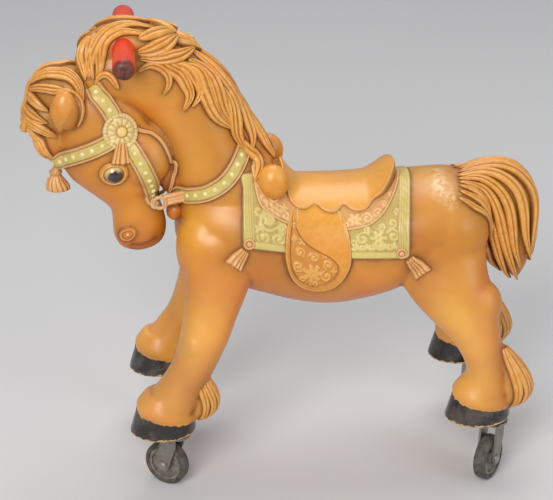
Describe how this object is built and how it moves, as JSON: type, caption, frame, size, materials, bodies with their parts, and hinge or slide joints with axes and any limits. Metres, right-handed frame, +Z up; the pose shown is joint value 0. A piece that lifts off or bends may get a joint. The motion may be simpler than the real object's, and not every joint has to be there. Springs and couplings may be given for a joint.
{
  "type": "ride-on pony on swivel casters",
  "caption": "Child's ride-on pony: hollow moulded body with saddle, bridle and mane relief, a wooden hand bar through the neck crest, and swivel casters under the hooves.",
  "frame": {"origin": "on the floor under the middle of the overall box", "axes": "+X from the nose to the tail, +Y to the pony's right, +Z up; the nose points to -X"},
  "size_m": [0.5986, 0.2333, 0.5576],
  "materials": {
    "moulded_body": "glossy tan with darker antiquing in the grooves",
    "red_wood": "red gloss paint, worn dark at the ends",
    "dark_wood": "black stain",
    "steel": "dull, tarnished",
    "bearing_steel": "polished, oily",
    "horn_steel": "pressed sheet, tarnished grey brown",
    "wheel_plastic": "matt grey, dusty",
    "tyre_rubber": "matt, scuffed"
  },
  "bodies": {
    "body": {"body_shell": "moulded_body", "hand_bar": "red_wood", "hoof_plug_front_left": "dark_wood", "socket_front_left": "steel", "stem_front_left": "steel", "upper_race_front_left": "steel", "hoof_plug_front_right": "dark_wood", "socket_front_right": "steel", "stem_front_right": "steel", "upper_race_front_right": "steel", "hoof_plug_rear_left": "dark_wood", "socket_rear_left": "steel", "stem_rear_left": "steel", "upper_race_rear_left": "steel", "hoof_plug_rear_right": "dark_wood", "socket_rear_right": "steel", "stem_rear_right": "steel", "upper_race_rear_right": "steel"},
    "swivel_front_left": {"horn_front_left": "horn_steel", "race_balls_front_left": "bearing_steel", "axle_front_left": "steel", "wheel_bush_front_left": "steel"},
    "wheel_front_left": {"wheel_core_front_left": "wheel_plastic", "tyre_front_left": "tyre_rubber"},
    "swivel_front_right": {"horn_front_right": "horn_steel", "race_balls_front_right": "bearing_steel", "axle_front_right": "steel", "wheel_bush_front_right": "steel"},
    "wheel_front_right": {"wheel_core_front_right": "wheel_plastic", "tyre_front_right": "tyre_rubber"},
    "swivel_rear_left": {"horn_rear_left": "horn_steel", "race_balls_rear_left": "bearing_steel", "axle_rear_left": "steel", "wheel_bush_rear_left": "steel"},
    "wheel_rear_left": {"wheel_core_rear_left": "wheel_plastic", "tyre_rear_left": "tyre_rubber"},
    "swivel_rear_right": {"horn_rear_right": "horn_steel", "race_balls_rear_right": "bearing_steel", "axle_rear_right": "steel", "wheel_bush_rear_right": "steel"},
    "wheel_rear_right": {"wheel_core_rear_right": "wheel_plastic", "tyre_rear_right": "tyre_rubber"}
  },
  "joints": [
    {"name": "swivel_turn_front_left", "type": "hinge", "parent": "body", "child": "swivel_front_left", "pos_m": [-0.132, -0.076, 0.07], "axis": [0, 0, 1], "continuous": true},
    {"name": "wheel_roll_front_left", "type": "hinge", "parent": "swivel_front_left", "child": "wheel_front_left", "pos_m": [-0.14557, -0.06752, 0.027], "axis": [-0.5299, -0.848, 0], "continuous": true},
    {"name": "swivel_turn_front_right", "type": "hinge", "parent": "body", "child": "swivel_front_right", "pos_m": [-0.132, 0.076, 0.07], "axis": [0, 0, 1], "continuous": true},
    {"name": "wheel_roll_front_right", "type": "hinge", "parent": "swivel_front_right", "child": "wheel_front_right", "pos_m": [-0.132, 0.06, 0.027], "axis": [1, 0, 0], "continuous": true},
    {"name": "swivel_turn_rear_left", "type": "hinge", "parent": "body", "child": "swivel_rear_left", "pos_m": [0.244, -0.076, 0.07], "axis": [0, 0, 1], "continuous": true},
    {"name": "wheel_roll_rear_left", "type": "hinge", "parent": "swivel_rear_left", "child": "wheel_rear_left", "pos_m": [0.23482, -0.08911, 0.027], "axis": [0.8192, -0.5736, 0], "continuous": true},
    {"name": "swivel_turn_rear_right", "type": "hinge", "parent": "body", "child": "swivel_rear_right", "pos_m": [0.244, 0.076, 0.07], "axis": [0, 0, 1], "continuous": true},
    {"name": "wheel_roll_rear_right", "type": "hinge", "parent": "swivel_rear_right", "child": "wheel_rear_right", "pos_m": [0.24261, 0.09194, 0.027], "axis": [-0.9962, -0.0872, 0], "continuous": true}
  ]
}
